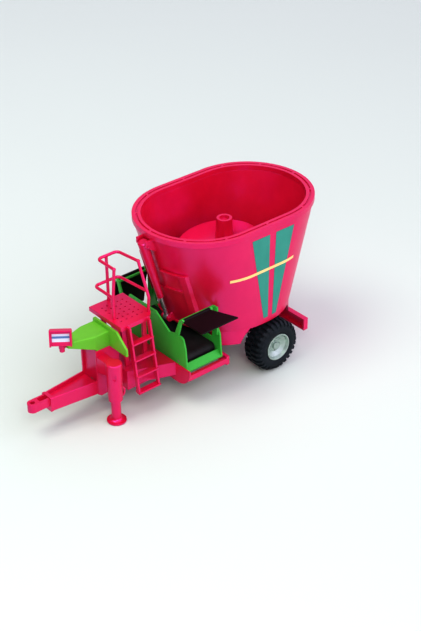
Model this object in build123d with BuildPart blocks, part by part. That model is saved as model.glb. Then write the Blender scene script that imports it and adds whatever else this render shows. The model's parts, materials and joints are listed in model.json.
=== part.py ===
"""Scale model of a towed vertical feed mixer: tub with an upright auger, cross conveyor at the front,
drawbar with a support stand, operator platform, and two wheels on one axle.

Frame: +X forward, +Y left, +Z up. The origin is the centre of the tow eye's bore.
Stations along X are measured from the tow eye, heights from the ground. Millimetres.
"""

import os
from math import atan2, cos, isclose, pi, radians, sin

from build123d import *

os.makedirs("parts", exist_ok=True)

# Tow eye and drawbar
eye_height = 35.4
eye_radius = 5.4
eye_bore_radius = 2.6
eye_thickness = 9.6
collar_x = -17.0
collar_thickness = 2.6
collar_width = 16.0
collar_height = 16.6
neck_width = 10.6
neck_pocket_width = 6.4
neck_pocket_depth = 5.0
neck_pocket_corner = 1.0
neck_pocket_wall = 1.5
collar_corner = 1.2
drawbar_front_width = 14.4
drawbar_rear_width = 26.4
drawbar_low = 25.0
drawbar_top = 40.5
drawbar_wall = 2.0
drawbar_deck_depth = 4.0
drawbar_edge = 0.8
drawbar_tongue_gap = 0.4

# Drive tower
tower_front_x = -71.4
tower_length = 28.6
tower_width = 26.8
tower_wall = 2.2
tower_low = 21.0
tower_top = 77.0
tower_web_setback = 2.4
tower_toe_rise = 3.0
tower_toe_run = 4.0

# Console hood
beak_tip_x = -44.0
beak_tip_width = 10.2
beak_tip_height = 6.0
beak_low = 78.6
hood_top = 94.5
hood_wall = 1.8
hood_setback = 1.0
hood_edge = 1.6
hood_panel_x = -91.0
hood_panel_thickness = 2.4
hood_panel_end_y = 42.0
hood_panel_top = 98.8
hood_panel_crown_y = 26.0
hood_panel_end_height = 7.5
hood_panel_corner = 2.0

# Display
display_turn = 52.0
display_tilt = 16.0
display_width = 22.4
display_height = 17.0
display_depth = 4.2
display_corner = 1.0
display_rim = 1.6
display_reach = 6.2
display_low = 96.2
screen_width = 17.6
screen_height = 8.4
screen_thickness = 1.2
visor_length = 3.4
stem_radius = 1.8
stem_x = -40.2
stem_lug_wall = 1.4
swivel_clearance = 0.06
swivel_gap = 0.3
knob_radius = 2.8
knob_height = 4.0

# Support stand
stand_x = -77.4
stand_y = 35.0
sleeve_radius = 7.4
sleeve_draft = 1.6
sleeve_low = 27.0
sleeve_top = 72.0
sleeve_cap = 2.0
leg_radius = 5.0
leg_clearance = 0.3
leg_top = 50.0
foot_radius = 10.2
foot_rim_height = 2.4
foot_height = 4.6
sleeve_edge = 1.6
arm_length = 13.0
arm_gusset = 6.0
arm_depth = 11.0
hook_reach = 4.6
hook_half_height = 6.2
hook_wire = 2.0
hook_gap = 0.4
hook_root = 4.0
dimple_height = 58.0
dimple_length = 7.0
dimple_width = 3.2
dimple_floor = 7.0
dimple_cut = 3.0
dimple_turn = 35.0
foot_edge = 0.8
foot_flare_radius = 6.8
foot_flare_height = 3.0

# Platform, railing and ladder
platform_front_x = -92.4
platform_length = 43.4
platform_left_y = 29.8
platform_right_y = -24.4
platform_top = 103.9
platform_skin = 1.8
platform_edge = 4.6
platform_chamfer = 7.0
platform_hole_radius = 1.1
platform_hole_pitch = 6.6
rail_radius = 1.6
rail_bend = 5.0
upper_rail_height = 157.0
lower_rail_height = 127.5
rail_far_y = -21.6
upper_rail_front_x = -104.6
lower_rail_front_x = -99.0
rail_rear_x = -129.4
front_post_y = 10.0
front_post_foot = (1.0, 1.0)
front_post_lean_y = 6.0
rear_post_x = -133.2
rear_post_y = 22.0
rear_post_lean_y = 8.5
rear_post_bend_y = 24.0
rear_post_bend_height = 121.0
rail_knuckle_radius = 1.95
mid_post_x = -115.4
ladder_front_x = -99.6
ladder_width = 27.4
ladder_low = 27.7
ladder_lean = 12.0
stile_depth = 4.4
stile_thickness = 2.2
step_depth = 7.0
step_thickness = 1.8
step_count = 4
platform_leg_y = 17.0
platform_leg_thickness = 2.6
platform_leg_rim = 5.0
platform_leg_front_inset = 7.8
platform_leg_rear_inset = 2.8
platform_leg_foot_gap = 1.0

# Chassis
rail_y = 24.0
chassis_wall = 4.0
chassis_low = 23.0
chassis_top = 40.0
chassis_rear_x = -308.0
nose_rear_y = 45.0
nose_top = 46.0
nose_skin = 2.0
frame_rail_y = 64.0
frame_rail_width = 4.0
frame_rail_low = 32.0
frame_rail_top = 38.0
frame_rear_x = -204.0
beam_drop = 2.0
beam_overhang = 2.0
beam_corner = 20.0
beam_lip = 1.6
beam_lip_height = 4.6
shaft_hole_radius = 3.5
pedestal_lap = 4.0
pedestal_width = 80.0
pedestal_offset = 40.0

# Tub
tub_x = -254.6
floor_height = 60.5
floor_thickness = 2.6
tub_top = 174.0
tub_wall = 2.4
base_half_run = 4.0
base_radius = 66.5
top_half_run = 31.3
top_radius = 70.9
rim_radius = 72.1
rim_inner_radius = 62.8
rim_height = 5.8
groove_radius = 67.2
groove_width = 2.0
groove_depth = 1.6
groove_bridge = 2.4
skirt_low = 44.0
arch_gap = 15.0
outlet_width = 54.0
outlet_height = 35.0
outlet_corner = 3.0

# Discharge gate and its cylinder
gate_half_width = 33.0
gate_low = 64.5
gate_high = 136.0
gate_gap = 0.6
gate_thickness = 1.6
gate_rib = 1.6
gate_rib_height = 2.4
gate_mid_rib = 112.0
gate_notch_width = 17.2
gate_notch_depth = 26.0
gate_notch_corner = 3.0
gate_travel = 20.0
guide_width = 4.2
guide_lip = 2.0
guide_lip_thickness = 1.5
guide_play = 0.4
guide_low = 88.0
cylinder_offset = 7.0
barrel_low_radius = 3.6
barrel_high_radius = 5.6
barrel_low = 98.0
barrel_drop = 3.0
rod_radius = 2.1
rod_clearance = 0.3
rod_eye_height = 70.0
rod_eye_radius = 3.6
rod_top = 112.0
lug_width = 11.0
lug_cheek = 2.5
lug_gusset = 3.0
lug_root = 1.0
gland_length = 4.0
gland_groove = 0.5
barrel_chamfer = 1.0
rod_eye_play = 0.2
pin_radius = 1.5
pin_overhang = 0.8
bracket_width = 16.0
bracket_height = 14.0
bracket_foot = 1.5
bracket_back = 1.0
bracket_eye_radius = 3.0
bracket_side_gap = 0.3

# Auger and its drive
auger_post_radius = 8.3
auger_post_bore = 5.4
auger_post_bore_depth = 4.0
auger_base_radius = 15.0
auger_top = 160.0
flight_low_radius = 60.0
flight_high_radius = 18.0
flight_low = 67.0
flight_high = 141.0
flight_turns = 1.95
flight_end_angle = 50.0
flight_pitch_ease = 1.55
flight_taper_ease = 3.4
flight_points = 48
flight_thickness = 2.2
flight_root = 1.0
floor_running_gap = 1.0
auger_shaft_radius = 4.0
auger_shaft_top = 118.0
bush_wall = 3.0
bush_clearance = 0.06
bush_length = 9.0
shaft_bush_length = 5.0
drive_shaft_height = 33.0
drive_shaft_radius = 2.5
crown_teeth = 24
pinion_teeth = 12
crown_mean_radius = 14.0
gear_face_width = 5.0
gear_addendum = 1.0
gear_dedendum = 1.5
gear_tooth_share = 0.25
gear_root_flare = 1.2
gear_tip_share = 0.7
gear_sink = 0.5
crown_thickness = 4.0
housing_radius = 20.0
housing_wall = 2.0
housing_low = 41.0

# Cross conveyor
trough_front_x = -150.0
trough_width = 48.0
trough_wall = 2.0
trough_half_length = 62.0
trough_low = 40.0
trough_floor = 1.5
trough_rear_top = 58.0
trough_middle_top = 92.0
trough_notch_top = 77.0
trough_shoulder_top = 80.0
crest_near_y = 12.0
notch_near_y = 34.0
crest_far_y = 33.0
notch_far_y = 39.0
cheek_start_y = 49.0
shoulder_start_y = 43.0
rear_cheek_run = 2.0
cheek_end_y = 56.0
cheek_belly_y = 59.6
cheek_belly_height = 67.8
rear_cheek_top = 74.0
cheek_corner = 5.0
lip_start_y = 56.0
lip_run = 2.0
lip_start_height = 47.5
roller_y = 48.0
roller_height = 48.0
roller_radius = 3.8
roller_journal_radius = 1.5
belt_gap = 0.3
belt_thickness = 0.9
belt_side_gap = 1.0
bed_half_length = 40.0
bed_thickness = 2.0
journal_clearance = 0.06

# Chute flaps
hinge_y = 55.3
hinge_height = 99.7
hinge_pin_radius = 0.9
hinge_clearance = 0.06
hinge_barrel_radius = 2.0
hinge_length = 34.0
flap_depth = 31.6
far_flap_depth = 55.0
far_flap_straight = 15.0
flap_flare = 11.6
flap_thickness = 1.6
flap_lowered = 72.0
ear_thickness = 2.4
ear_gap = 0.4
hinge_bar_width = 2.0
hinge_bar_height = 2.2
hinge_bar_inset = 0.6
rear_strut_y = 52.0
rear_strut_width = 6.0
rear_strut_lap = 8.0

# Wheels, axle and bumper
axle_x = -265.4
wheel_radius = 29.0
wheel_width = 26.0
wheel_outer_y = 75.6
tread_height = 2.4
tyre_bead_depth = 1.4
tyre_bulge_radius = 21.5
tyre_shoulder_depth = 3.6
lug_count = 28
wheel_lug_width = 3.2
lug_foot_radius = 22.5
lug_side_inset = 0.4
lug_side_radius = 26.0
lug_shoulder_depth = 4.4
rim_seat_radius = 15.4
rim_lip = 1.4
rim_well_radius = 12.6
rim_well_depth = 3.0
rim_dish = 5.6
rim_web = 3.0
wheel_hub_radius = 7.6
hub_bolt_count = 8
hub_bolt_circle = 5.9
hub_bolt_radius = 0.9
hub_bolt_height = 0.9
hub_cap_radius = 3.8
hub_cap_setback = 3.4
hub_cap_draft = 0.3
hub_cap_wall = 1.6
axle_end_gap = 0.4
axle_radius = 2.5
axle_clearance = 0.06
bumper_width = 138.8
bumper_low = 29.0
bumper_top = 43.0
bumper_depth = 6.0
bumper_skin = 2.0
bumper_rib_width = 6.0


def height(h):
    """Height above the ground as a Z coordinate of the frame."""
    return h - eye_height


def level(h):
    """Horizontal plane at a height above the ground."""
    return Plane.XY.offset(height(h))


def across(x):
    """Upright plane across the wagon: sketch X is Y, sketch Y is the height above the ground."""
    return Plane(origin=(x, 0, height(0)), x_dir=(0, 1, 0), z_dir=(1, 0, 0))


def along(y):
    """Upright plane along the wagon: sketch X is X, sketch Y is the height above the ground."""
    return Plane(origin=(0, y, height(0)), x_dir=(1, 0, 0), z_dir=(0, -1, 0))


def save(piece, name):
    """Labels a finished piece and writes it."""
    piece.part.label = name
    export_step(piece.part, f"parts/{name}.step")


# Tow eye: ring, neck with an open pocket on top, and the collar that meets the drawbar
collar_rear_x = collar_x - collar_thickness
with BuildPart() as tow_eye:
    with BuildSketch(level(eye_height - eye_thickness / 2)):
        Circle(eye_radius)
        with Locations((collar_x / 2, 0)):
            Rectangle(-collar_x, neck_width)
    extrude(amount=eye_thickness)
    pocket_length = -collar_x - eye_radius - neck_pocket_wall
    with BuildSketch(level(eye_height + eye_thickness / 2)):
        with Locations((collar_x + pocket_length / 2, 0)):
            RectangleRounded(pocket_length, neck_pocket_width, neck_pocket_corner)
    extrude(amount=-neck_pocket_depth, mode=Mode.SUBTRACT)
    with BuildSketch(across(collar_rear_x)):
        with Locations((0, (drawbar_low + drawbar_top) / 2)):
            RectangleRounded(collar_width, collar_height, collar_corner)
    extrude(amount=collar_thickness)
    with BuildSketch(level(eye_height - eye_thickness)):
        Circle(eye_bore_radius)
    extrude(amount=2 * eye_thickness, mode=Mode.SUBTRACT)
save(tow_eye, "tow_eye")

# Drawbar: channel that widens to the rear, with a sunk deck that runs on between the tower's walls
deck_h = drawbar_top - drawbar_deck_depth
with BuildPart() as drawbar:
    half_front = drawbar_front_width / 2
    half_rear = drawbar_rear_width / 2
    with BuildSketch(level(drawbar_low)):
        Polygon(
            (collar_rear_x, -half_front),
            (collar_rear_x, half_front),
            (tower_front_x, half_rear),
            (tower_front_x, -half_rear),
            align=None,
        )
    extrude(amount=drawbar_top - drawbar_low)
    top_sides = drawbar.edges().group_by(Axis.Z)[-1].filter_by(Axis.Y, reverse=True)
    fillet(top_sides, radius=drawbar_edge)
    with BuildSketch(level(drawbar_top)):
        Polygon(
            (collar_rear_x - drawbar_wall, drawbar_wall - half_front),
            (collar_rear_x - drawbar_wall, half_front - drawbar_wall),
            (tower_front_x, half_rear - drawbar_wall),
            (tower_front_x, drawbar_wall - half_rear),
            align=None,
        )
    extrude(amount=-drawbar_deck_depth, mode=Mode.SUBTRACT)
    with BuildSketch(level(drawbar_low)):
        Polygon(
            (collar_rear_x - drawbar_wall, drawbar_wall - half_front),
            (collar_rear_x - drawbar_wall, half_front - drawbar_wall),
            (tower_front_x, half_rear - drawbar_wall),
            (tower_front_x, drawbar_wall - half_rear),
            align=None,
        )
    extrude(amount=deck_h - drawbar_wall - drawbar_low, mode=Mode.SUBTRACT)
    with BuildSketch(level(deck_h)):
        with Locations((tower_front_x, 0)):
            tongue = tower_web_setback - drawbar_tongue_gap
            Rectangle(tongue, drawbar_rear_width - 2 * drawbar_wall, align=(Align.MAX, Align.CENTER))
    extrude(amount=-drawbar_wall)
save(drawbar, "drawbar")

# Drive tower: two side walls and a web set back between them, open to the rear
tower_rear_x = tower_front_x - tower_length
shaft_bush_radius = drive_shaft_radius + bush_clearance + bush_wall / 2
with BuildPart() as drive_tower:
    with BuildSketch(along(0)):
        Polygon(
            (tower_front_x, tower_low + tower_toe_rise),
            (tower_front_x, tower_top),
            (tower_rear_x, tower_top),
            (tower_rear_x, chassis_low),
            (tower_front_x - tower_toe_run, tower_low),
            align=None,
        )
    extrude(amount=tower_width / 2, both=True)
    inner_width = tower_width - 2 * tower_wall
    web_front_x = tower_front_x - tower_web_setback
    with BuildSketch(across(tower_front_x)):
        with Locations((0, (tower_low + tower_top) / 2)):
            Rectangle(inner_width, tower_top - tower_low)
    extrude(amount=-tower_web_setback, mode=Mode.SUBTRACT)
    with BuildSketch(across(web_front_x - tower_wall)):
        with Locations((0, (tower_low + tower_top) / 2 - tower_wall)):
            Rectangle(inner_width, tower_top - tower_low)
    extrude(amount=-tower_length, mode=Mode.SUBTRACT)
    with BuildSketch(across(web_front_x)):
        with Locations((0, drive_shaft_height)):
            Circle(shaft_bush_radius)
    extrude(amount=-2 * tower_wall, mode=Mode.SUBTRACT)
save(drive_tower, "drive_tower")

# Console hood: a beak over the drawbar, a body on the tower and a panel with one dropped shoulder
hood_body_x = tower_front_x - hood_setback
panel_front_x = hood_panel_x + hood_panel_thickness
with BuildPart() as console_hood:
    for shrink, mode in ((0, Mode.ADD), (hood_wall, Mode.SUBTRACT)):
        top = hood_top - shrink
        with BuildSketch(across(hood_body_x)) as beak_root:
            with Locations((0, top)):
                Rectangle(tower_width - 2 * shrink, hood_top - beak_low, align=(Align.CENTER, Align.MAX))
        with BuildSketch(across(beak_tip_x - shrink)) as beak_tip:
            with Locations((0, top)):
                Rectangle(beak_tip_width - 2 * shrink, beak_tip_height, align=(Align.CENTER, Align.MAX))
        loft([beak_root.sketch.face(), beak_tip.sketch.face()], ruled=True, mode=mode)
        with BuildSketch(across(hood_body_x)):
            with Locations((0, tower_top)):
                Rectangle(tower_width - 2 * shrink, top - tower_top, align=(Align.CENTER, Align.MIN))
        extrude(amount=panel_front_x - hood_body_x, mode=mode)
        if mode == Mode.ADD:
            top_rim = console_hood.edges().group_by(Axis.Z)[-1]
            fillet(top_rim.filter_by(Axis.Y, reverse=True), radius=hood_edge)
    with BuildSketch(across(hood_panel_x)):
        Polygon(
            (-tower_width / 2, tower_top),
            (-tower_width / 2, hood_panel_top),
            (hood_panel_crown_y, hood_panel_top),
            (hood_panel_end_y, tower_top + hood_panel_end_height),
            (hood_panel_end_y, tower_top),
            align=None,
        )
    extrude(amount=hood_panel_thickness)
    fillet(
        console_hood.edges().filter_by(Axis.X).group_by(SortBy.LENGTH)[0].group_by(Axis.Z)[-1],
        radius=hood_panel_corner,
    )
save(console_hood, "console_hood")

# Display stem: a lug on the beak's tip with the upright swivel pin
stem_low = hood_top - beak_tip_height
lug_top = stem_low + beak_tip_height / 2
stem_top = display_low + display_height / 2
with BuildPart() as display_stem:
    with BuildSketch(level(stem_low)):
        with Locations((stem_x, 0)):
            Circle(stem_radius + stem_lug_wall)
        with Locations(((stem_x + beak_tip_x) / 2, 0)):
            Rectangle(stem_x - beak_tip_x, 2 * stem_radius + stem_lug_wall)
    extrude(amount=lug_top - stem_low)
    with BuildSketch(level(stem_low - knob_height)):
        with Locations((stem_x, 0)):
            Circle(stem_radius)
    extrude(amount=stem_top - stem_low + knob_height)
save(display_stem, "display_stem")

# Display knob: clamps the stem from below
with BuildPart() as display_knob:
    with BuildSketch(level(stem_low - knob_height)):
        with Locations((stem_x, 0)):
            RegularPolygon(knob_radius, 8)
            Circle(stem_radius, mode=Mode.SUBTRACT)
    extrude(amount=knob_height)
save(display_knob, "display_knob")

# Display housing: tilted box with a visor and side wings, on a socket that turns on the stem
turn = radians(display_turn)
tilt = radians(display_tilt)
facing = Vector(cos(turn), sin(turn), 0)
wide = Vector(-sin(turn), cos(turn), 0)
face_normal = facing * cos(tilt) + Vector(0, 0, sin(tilt))
display_mid = height(display_low + display_height / 2 * cos(tilt))
display_centre = Vector(stem_x, 0, display_mid) + facing * display_reach
display_face = Plane(origin=display_centre, x_dir=wide, z_dir=face_normal)
with BuildPart() as display_housing:
    with BuildSketch(display_face):
        RectangleRounded(display_width, display_height, display_corner)
    extrude(amount=-display_depth)
    with BuildSketch(display_face):
        with Locations((0, display_height / 2 - display_rim / 2)):
            Rectangle(display_width, display_rim)
        with Locations(((display_width - display_rim) / 2, 0), ((display_rim - display_width) / 2, 0)):
            Rectangle(display_rim, display_height)
    extrude(amount=visor_length)
    with BuildSketch(level(lug_top + swivel_gap)):
        with Locations((stem_x, 0)):
            Circle(stem_radius + display_rim)
    extrude(amount=stem_top - lug_top + display_rim)
    with BuildSketch(display_face):
        Rectangle(screen_width, screen_height)
    extrude(amount=-screen_thickness, mode=Mode.SUBTRACT)
    with BuildSketch(level(lug_top)):
        with Locations((stem_x, 0)):
            Circle(stem_radius + swivel_clearance)
    extrude(amount=stem_top - lug_top + swivel_gap, mode=Mode.SUBTRACT)
save(display_housing, "display_housing")

# Display screen: a flat pane in the housing's recess
with BuildPart() as display_screen:
    with BuildSketch(display_face.offset(-screen_thickness)):
        Rectangle(screen_width, screen_height)
    extrude(amount=screen_thickness)
save(display_screen, "display_screen")

# Support stand: sleeve with its arm to the tower and a hook low on the side
with BuildPart() as stand_sleeve:
    with BuildSketch(level(sleeve_low)):
        with Locations((stand_x, stand_y)):
            Circle(sleeve_radius)
    extrude(amount=sleeve_top - sleeve_low, taper=-sleeve_draft)
    fillet(stand_sleeve.edges().group_by(Axis.Z)[-1], radius=sleeve_edge)
    tower_side_y = tower_width / 2
    arm_top = sleeve_top - sleeve_cap
    with BuildSketch(across(stand_x - arm_depth / 2)):
        Polygon(
            (tower_side_y, arm_top),
            (stand_y, arm_top),
            (stand_y, arm_top - arm_length),
            (tower_side_y, arm_top - arm_length - arm_gusset),
            align=None,
        )
    extrude(amount=arm_depth)
    hook_x = stand_x - sleeve_radius - hook_gap
    with BuildSketch(along(stand_y)):
        with Locations((hook_x, sleeve_low + hook_half_height)):
            Ellipse(hook_reach, hook_half_height)
            Ellipse(hook_reach - hook_wire, hook_half_height - hook_wire, mode=Mode.SUBTRACT)
            with Locations((hook_reach, 0)):
                Rectangle(2 * hook_reach, 2 * hook_half_height, mode=Mode.SUBTRACT)
        with Locations((hook_x + hook_wire / 2, sleeve_low + 2 * hook_half_height - hook_wire / 2)):
            Rectangle(hook_root, hook_wire)
    extrude(amount=hook_wire / 2, both=True)
    with BuildSketch(level(sleeve_low - 1)):
        with Locations((stand_x, stand_y)):
            Circle(leg_radius + leg_clearance)
    extrude(amount=sleeve_top - sleeve_cap - sleeve_low + 1, mode=Mode.SUBTRACT)
    dimple_way = Vector(0, 1, 0).rotate(Axis.Z, -dimple_turn)
    dimple_point = Vector(stand_x, stand_y, height(dimple_height)) + dimple_way * dimple_floor
    with BuildSketch(Plane(origin=dimple_point, x_dir=(0, 0, 1), z_dir=dimple_way)):
        SlotOverall(dimple_length, dimple_width)
    extrude(amount=dimple_cut, mode=Mode.SUBTRACT)
save(stand_sleeve, "stand_sleeve")

# Stand leg: round post that flares into a flat foot
with BuildPart() as stand_leg:
    with BuildSketch(Plane(origin=(stand_x, stand_y, height(0)), x_dir=(1, 0, 0), z_dir=(0, -1, 0))):
        with BuildLine():
            Polyline(
                (leg_radius, foot_height),
                (leg_radius, leg_top),
                (0, leg_top),
                (0, 0),
                (foot_radius - foot_edge, 0),
                (foot_radius, foot_edge),
                (foot_radius, foot_rim_height),
            )
            ThreePointArc(
                (foot_radius, foot_rim_height),
                (foot_flare_radius, foot_flare_height),
                (leg_radius, foot_height),
            )
        make_face()
    revolve(axis=Axis((stand_x, stand_y, 0), (0, 0, 1)))
save(stand_leg, "stand_leg")

# Platform: perforated deck with a turned-down edge and one cut corner
platform_rear_x = platform_front_x - platform_length
platform_width = platform_left_y - platform_right_y
platform_mid = ((platform_front_x + platform_rear_x) / 2, (platform_left_y + platform_right_y) / 2)
with BuildPart() as platform_deck:
    with BuildSketch(level(platform_top)) as deck_outline:
        Polygon(
            (platform_front_x, platform_right_y),
            (platform_front_x, platform_left_y),
            (platform_rear_x + platform_chamfer, platform_left_y),
            (platform_rear_x, platform_left_y - platform_chamfer),
            (platform_rear_x, platform_right_y),
            align=None,
        )
    extrude(amount=-platform_edge)
    with BuildSketch(level(platform_top - platform_edge)):
        add(deck_outline.sketch_local)
        offset(amount=-platform_skin, mode=Mode.REPLACE)
    extrude(amount=platform_edge - platform_skin, mode=Mode.SUBTRACT)
    hole_rows = int((platform_length - 2 * platform_edge) / platform_hole_pitch)
    hole_columns = int((platform_width - 2 * platform_edge) / platform_hole_pitch)
    with BuildSketch(level(platform_top)):
        with Locations(platform_mid):
            with GridLocations(platform_hole_pitch, platform_hole_pitch, hole_rows, hole_columns):
                Circle(platform_hole_radius)
    extrude(amount=-platform_skin, mode=Mode.SUBTRACT)
save(platform_deck, "platform_deck")

# Platform legs: two upright window frames between the chassis nose and the deck
deck_under = platform_top - platform_skin
platform_leg_front_x = platform_front_x - platform_leg_front_inset
platform_leg_rear_x = platform_rear_x + platform_leg_rear_inset
with BuildPart() as platform_leg_left:
    with BuildSketch(along(platform_leg_y)):
        Polygon(
            (tower_rear_x - chassis_wall - platform_leg_foot_gap, nose_top),
            (platform_leg_front_x, deck_under),
            (platform_leg_rear_x, deck_under),
            (platform_leg_rear_x, nose_top),
            align=None,
        )
        offset(amount=-platform_leg_rim, mode=Mode.SUBTRACT)
    extrude(amount=platform_leg_thickness / 2, both=True)
with BuildPart() as platform_leg_right:
    mirror(platform_leg_left.part, about=Plane.XZ)
save(platform_leg_left, "platform_leg_left")
save(platform_leg_right, "platform_leg_right")

# Railing: upper and lower rails bent round two corners, carried by three posts
foot_height_z = height(platform_top)
upper_z = height(upper_rail_height)
lower_z = height(lower_rail_height)
upper_front = (upper_rail_front_x, front_post_lean_y, upper_z)
front_foot = (lower_rail_front_x + front_post_foot[0], front_post_y + front_post_foot[1], foot_height_z)
lower_front = (lower_rail_front_x, front_post_y, lower_z)
rear_bend = (rear_post_x, rear_post_bend_y, height(rear_post_bend_height))
upper_rear = (rear_post_x, rear_post_lean_y, upper_z)
lean_share = (upper_rail_height - lower_rail_height) / (upper_rail_height - rear_post_bend_height)
lower_rear_y = rear_post_lean_y + lean_share * (rear_bend[1] - rear_post_lean_y)
lower_rear = (rear_post_x, lower_rear_y, lower_z)
rail_paths = [
    [upper_front, (upper_rail_front_x, rail_far_y, upper_z), (rail_rear_x, rail_far_y, upper_z), upper_rear],
    [lower_front, (lower_rail_front_x, rail_far_y, lower_z), (rail_rear_x, rail_far_y, lower_z), lower_rear],
    [front_foot, lower_front, upper_front],
    [(rear_post_x, rear_post_y, foot_height_z), rear_bend, upper_rear],
    [(mid_post_x, rail_far_y, foot_height_z), (mid_post_x, rail_far_y, upper_z)],
]
with BuildPart() as railing:
    for path_points in rail_paths:
        with BuildLine() as rail_path:
            if len(path_points) > 2:
                FilletPolyline(*path_points, radius=rail_bend)
            else:
                Polyline(*path_points)
        with BuildSketch(Plane(origin=rail_path.line @ 0, z_dir=rail_path.line % 0)):
            Circle(rail_radius)
        sweep(path=rail_path.line)
    with Locations(Location(upper_front), Location(upper_rear)):
        Sphere(rail_knuckle_radius)
    split(bisect_by=level(platform_top), keep=Keep.TOP)
save(railing, "railing")

# Ladder: two leaning stiles that meet the deck's edge, and flat steps
ladder_top = platform_top - platform_skin
ladder_bend = platform_top - platform_edge
ladder_slope = ladder_lean / (ladder_bend - ladder_low)
with BuildPart() as ladder:
    for stile_x in (ladder_front_x - stile_thickness, ladder_front_x - ladder_width):
        with BuildSketch(across(stile_x)):
            Polygon(
                (platform_left_y, ladder_bend),
                (platform_left_y, ladder_top),
                (platform_left_y + stile_depth, ladder_top),
                (platform_left_y + stile_depth + ladder_lean, ladder_low),
                (platform_left_y + ladder_lean, ladder_low),
                align=None,
            )
        extrude(amount=stile_thickness)
    for step in range(step_count):
        rung_height = ladder_low + step_thickness + step * (ladder_bend - ladder_low) / step_count
        rung_y = platform_left_y + ladder_slope * (ladder_bend - rung_height)
        with BuildSketch(across(ladder_front_x - ladder_width)):
            with Locations((rung_y + stile_depth / 2, rung_height)):
                Rectangle(step_depth, step_thickness)
        extrude(amount=ladder_width)
save(ladder, "ladder")

# Chassis: two long rails, nose deck with slanted sides, conveyor frame and tub pedestals
nose_front_x = tower_rear_x
frame_front_x = trough_front_x + beam_lip
outer_y = rail_y + chassis_wall / 2
inner_y = rail_y - chassis_wall / 2
pedestal_x = [tub_x + pedestal_offset, tub_x - pedestal_offset]
with BuildPart() as chassis_frame:
    for side in (-1, 1):
        with BuildSketch(level(chassis_low)):
            Polygon(
                (nose_front_x, side * inner_y),
                (nose_front_x, side * outer_y),
                (chassis_rear_x, side * outer_y),
                (chassis_rear_x, side * inner_y),
                align=None,
            )
        extrude(amount=chassis_top - chassis_low)
        with BuildSketch(level(frame_rail_low - beam_drop)):
            Polygon(
                (nose_front_x, side * inner_y),
                (nose_front_x, side * outer_y),
                (frame_front_x, side * nose_rear_y),
                (frame_front_x, side * (nose_rear_y - chassis_wall)),
                align=None,
            )
        extrude(amount=nose_top - frame_rail_low + beam_drop)
        with BuildSketch(along(side * frame_rail_y)):
            with Locations(((frame_front_x + frame_rear_x) / 2, (frame_rail_low + frame_rail_top) / 2)):
                SlotOverall(frame_front_x - frame_rear_x, frame_rail_top - frame_rail_low)
        extrude(amount=frame_rail_width / 2, both=True)
    with BuildSketch(level(nose_top - nose_skin)):
        Polygon(
            (nose_front_x, -outer_y),
            (nose_front_x, outer_y),
            (frame_front_x, nose_rear_y),
            (frame_front_x, -nose_rear_y),
            align=None,
        )
    extrude(amount=nose_skin)
    with BuildSketch(across(nose_front_x)):
        with Locations((0, (chassis_low + nose_top) / 2)):
            Rectangle(2 * outer_y, nose_top - chassis_low)
    extrude(amount=-chassis_wall)
    frame_half = frame_rail_y + frame_rail_width / 2
    with BuildSketch(across(frame_front_x)) as beam_shape:
        with Locations((0, chassis_low)):
            beam_width = 2 * (frame_half + beam_overhang)
            beam_height = chassis_top + beam_lip_height - chassis_low
            Rectangle(beam_width, beam_height, align=(Align.CENTER, Align.MIN))
        fillet(beam_shape.vertices().group_by(Axis.Y)[0], radius=beam_corner)
    extrude(amount=-beam_lip)
    with BuildSketch(across(frame_front_x - beam_lip)):
        add(beam_shape.sketch_local)
        with Locations((0, chassis_top)):
            Rectangle(beam_width, beam_height, align=(Align.CENTER, Align.MIN), mode=Mode.SUBTRACT)
    extrude(amount=beam_lip - chassis_wall)
    with BuildSketch(across(frame_rear_x)):
        with Locations((0, chassis_top)):
            rear_beam_height = chassis_top - frame_rail_low + beam_drop
            Rectangle(2 * frame_half, rear_beam_height, align=(Align.CENTER, Align.MAX))
    extrude(amount=chassis_wall)
    for plate_x in pedestal_x:
        with BuildSketch(across(plate_x)):
            with Locations((0, floor_height)):
                pedestal_height = floor_height - chassis_top + pedestal_lap
                Rectangle(pedestal_width, pedestal_height, align=(Align.CENTER, Align.MAX))
        extrude(amount=chassis_wall / 2, both=True)
    with BuildSketch(along(0)):
        with Locations((axle_x, wheel_radius)):
            Circle(axle_radius)
    extrude(amount=rail_y + chassis_wall, both=True, mode=Mode.SUBTRACT)
    with BuildSketch(across(nose_front_x)):
        with Locations((0, drive_shaft_height)):
            Circle(shaft_hole_radius)
    extrude(amount=tub_x - nose_front_x, mode=Mode.SUBTRACT)
save(chassis_frame, "chassis_frame")

# Tub: oval at the top, rounder at the base, with straight slanting walls
tub_depth = tub_top - floor_height
front_lean = atan2(top_half_run + top_radius - base_half_run - base_radius, tub_depth)
lift = Vector(sin(front_lean), 0, cos(front_lean))


def half_run(h):
    """Half the straight run of the tub's outline at a height."""
    return base_half_run + (top_half_run - base_half_run) * (h - floor_height) / tub_depth


def wall_radius(h):
    """Outside radius of the tub's round ends at a height."""
    return base_radius + (top_radius - base_radius) * (h - floor_height) / tub_depth


def wall_x(h):
    """Station of the tub's front wall, outside, on the centre line."""
    return tub_x + half_run(h) + wall_radius(h)


def oval(h, grow):
    """The tub's outline at a height, moved outwards by an amount."""
    with BuildSketch(level(h)) as shape:
        with Locations((tub_x, 0)):
            SlotCenterToCenter(2 * half_run(h), 2 * (wall_radius(h) + grow))
    return shape.sketch.face()


def inside(h):
    """The outline of the tub's inside at a height: the wall thickens up to the rim's inner edge."""
    base_inner = base_radius - tub_wall
    inner_radius = base_inner + (rim_inner_radius - base_inner) * (h - floor_height) / tub_depth
    return oval(h, inner_radius - wall_radius(h))


with BuildPart() as tub_solid:
    loft([oval(floor_height, 0), oval(tub_top, 0)], ruled=True)

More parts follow.
